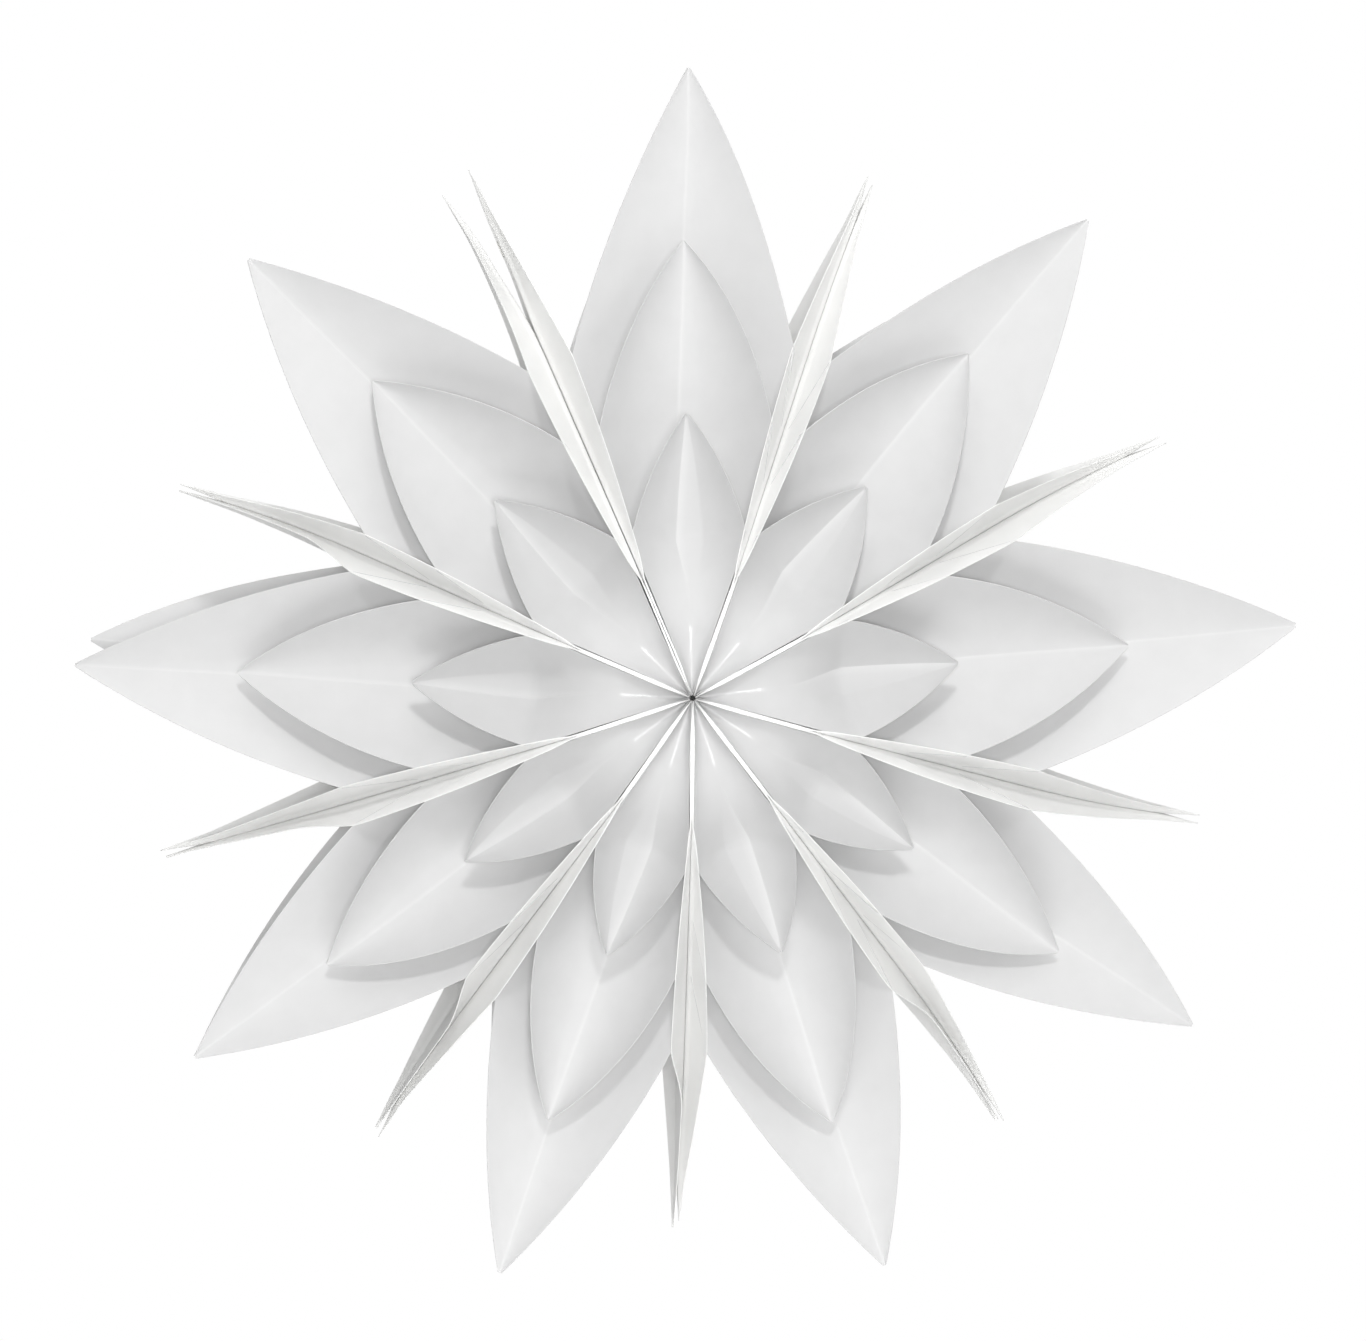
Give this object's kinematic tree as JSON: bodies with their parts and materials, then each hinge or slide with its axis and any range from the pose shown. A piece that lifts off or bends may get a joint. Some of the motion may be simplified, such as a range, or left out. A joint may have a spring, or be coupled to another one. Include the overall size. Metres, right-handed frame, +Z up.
{
  "type": "folding paper star",
  "caption": "Fan-folding white card star: pages round a spine carry nested creased leaves front and back; opens flat-packed into a full round and hangs from eyelets at its closing seam.",
  "frame": {"origin": "middle of the hanging eyelet in the first page, at the closing seam", "axes": "+Z up as the star hangs in the picture, -Y out of the front of the star along its axis, +X to the right seen from the front"},
  "size_m": [0.6079, 0.1716, 0.5954],
  "materials": {
    "leaf_card": "satin-coated white card",
    "page_card": "satin-coated white card",
    "hook_tape": "moulded nylon hooks",
    "loop_tape": "napped nylon loops",
    "eyelet_metal": "white lacquer"
  },
  "bodies": {
    "first_page": {"sector_1_leading_page": "page_card", "closing_hook_dots": "hook_tape", "hanging_eyelet_first_page": "eyelet_metal"},
    "seam_1": {"sector_1_trailing_page": "page_card", "sector_1_spine_fold": "page_card", "sector_1_small_leaves": "leaf_card", "sector_1_medium_leaves": "leaf_card", "sector_1_large_leaves": "leaf_card", "sector_2_leading_page": "page_card"},
    "seam_2": {"sector_2_trailing_page": "page_card", "sector_2_spine_fold": "page_card", "sector_2_small_leaves": "leaf_card", "sector_2_medium_leaves": "leaf_card", "sector_2_large_leaves": "leaf_card", "sector_3_leading_page": "page_card"},
    "seam_3": {"sector_3_trailing_page": "page_card", "sector_3_spine_fold": "page_card", "sector_3_small_leaves": "leaf_card", "sector_3_medium_leaves": "leaf_card", "sector_3_large_leaves": "leaf_card", "sector_4_leading_page": "page_card"},
    "seam_4": {"sector_4_trailing_page": "page_card", "sector_4_spine_fold": "page_card", "sector_4_small_leaves": "leaf_card", "sector_4_medium_leaves": "leaf_card", "sector_4_large_leaves": "leaf_card", "sector_5_leading_page": "page_card"},
    "seam_5": {"sector_5_trailing_page": "page_card", "sector_5_spine_fold": "page_card", "sector_5_small_leaves": "leaf_card", "sector_5_medium_leaves": "leaf_card", "sector_5_large_leaves": "leaf_card", "sector_6_leading_page": "page_card"},
    "seam_6": {"sector_6_trailing_page": "page_card", "sector_6_spine_fold": "page_card", "sector_6_small_leaves": "leaf_card", "sector_6_medium_leaves": "leaf_card", "sector_6_large_leaves": "leaf_card", "sector_7_leading_page": "page_card"},
    "seam_7": {"sector_7_trailing_page": "page_card", "sector_7_spine_fold": "page_card", "sector_7_small_leaves": "leaf_card", "sector_7_medium_leaves": "leaf_card", "sector_7_large_leaves": "leaf_card", "sector_8_leading_page": "page_card"},
    "seam_8": {"sector_8_trailing_page": "page_card", "sector_8_spine_fold": "page_card", "sector_8_small_leaves": "leaf_card", "sector_8_medium_leaves": "leaf_card", "sector_8_large_leaves": "leaf_card", "sector_9_leading_page": "page_card"},
    "last_page": {"sector_9_trailing_page": "page_card", "sector_9_spine_fold": "page_card", "sector_9_small_leaves": "leaf_card", "sector_9_medium_leaves": "leaf_card", "sector_9_large_leaves": "leaf_card", "closing_loop_dots": "loop_tape", "hanging_eyelet_last_page": "eyelet_metal"}
  },
  "joints": [
    {"name": "fold_1", "type": "hinge", "parent": "first_page", "child": "seam_1", "pos_m": [0.09088, 0, -0.22213], "axis": [0, -1, 0], "range_deg": [0, 33.6], "deforming": ["sector_1_spine_fold", "sector_1_small_leaves", "sector_1_medium_leaves", "sector_1_large_leaves"]},
    {"name": "fold_2", "type": "hinge", "parent": "seam_1", "child": "seam_2", "pos_m": [0.09088, 0, -0.22213], "axis": [0, -1, 0], "range_deg": [-0.05, 33.49], "deforming": ["sector_2_spine_fold", "sector_2_small_leaves", "sector_2_medium_leaves", "sector_2_large_leaves"]},
    {"name": "fold_3", "type": "hinge", "parent": "seam_2", "child": "seam_3", "pos_m": [0.09088, 0, -0.22213], "axis": [0, -1, 0], "range_deg": [-0.05, 35.33], "deforming": ["sector_3_spine_fold", "sector_3_small_leaves", "sector_3_medium_leaves", "sector_3_large_leaves"]},
    {"name": "fold_4", "type": "hinge", "parent": "seam_3", "child": "seam_4", "pos_m": [0.09088, 0, -0.22213], "axis": [0, -1, 0], "range_deg": [-0.05, 29.57], "deforming": ["sector_4_spine_fold", "sector_4_small_leaves", "sector_4_medium_leaves", "sector_4_large_leaves"]},
    {"name": "fold_5", "type": "hinge", "parent": "seam_4", "child": "seam_5", "pos_m": [0.09088, 0, -0.22213], "axis": [0, -1, 0], "range_deg": [-0.05, 30.45], "deforming": ["sector_5_spine_fold", "sector_5_small_leaves", "sector_5_medium_leaves", "sector_5_large_leaves"]},
    {"name": "fold_6", "type": "hinge", "parent": "seam_5", "child": "seam_6", "pos_m": [0.09088, 0, -0.22213], "axis": [0, -1, 0], "range_deg": [-0.05, 27.89], "deforming": ["sector_6_spine_fold", "sector_6_small_leaves", "sector_6_medium_leaves", "sector_6_large_leaves"]},
    {"name": "fold_7", "type": "hinge", "parent": "seam_6", "child": "seam_7", "pos_m": [0.09088, 0, -0.22213], "axis": [0, -1, 0], "range_deg": [-0.05, 29.57], "deforming": ["sector_7_spine_fold", "sector_7_small_leaves", "sector_7_medium_leaves", "sector_7_large_leaves"]},
    {"name": "fold_8", "type": "hinge", "parent": "seam_7", "child": "seam_8", "pos_m": [0.09088, 0, -0.22213], "axis": [0, -1, 0], "range_deg": [-0.05, 32.93], "deforming": ["sector_8_spine_fold", "sector_8_small_leaves", "sector_8_medium_leaves", "sector_8_large_leaves"]},
    {"name": "fold_9", "type": "hinge", "parent": "seam_8", "child": "last_page", "pos_m": [0.09088, 0, -0.22213], "axis": [0, -1, 0], "range_deg": [-0.05, 34.77], "deforming": ["sector_9_spine_fold", "sector_9_small_leaves", "sector_9_medium_leaves", "sector_9_large_leaves"]}
  ],
  "couplings": [
    {"joint": "fold_2", "follows": "fold_1", "ratio": 0.99524},
    {"joint": "fold_3", "follows": "fold_1", "ratio": 1.05},
    {"joint": "fold_4", "follows": "fold_1", "ratio": 0.87857},
    {"joint": "fold_5", "follows": "fold_1", "ratio": 0.90476},
    {"joint": "fold_6", "follows": "fold_1", "ratio": 0.82857},
    {"joint": "fold_7", "follows": "fold_1", "ratio": 0.87857},
    {"joint": "fold_8", "follows": "fold_1", "ratio": 0.97857},
    {"joint": "fold_9", "follows": "fold_1", "ratio": 1.0333}
  ]
}
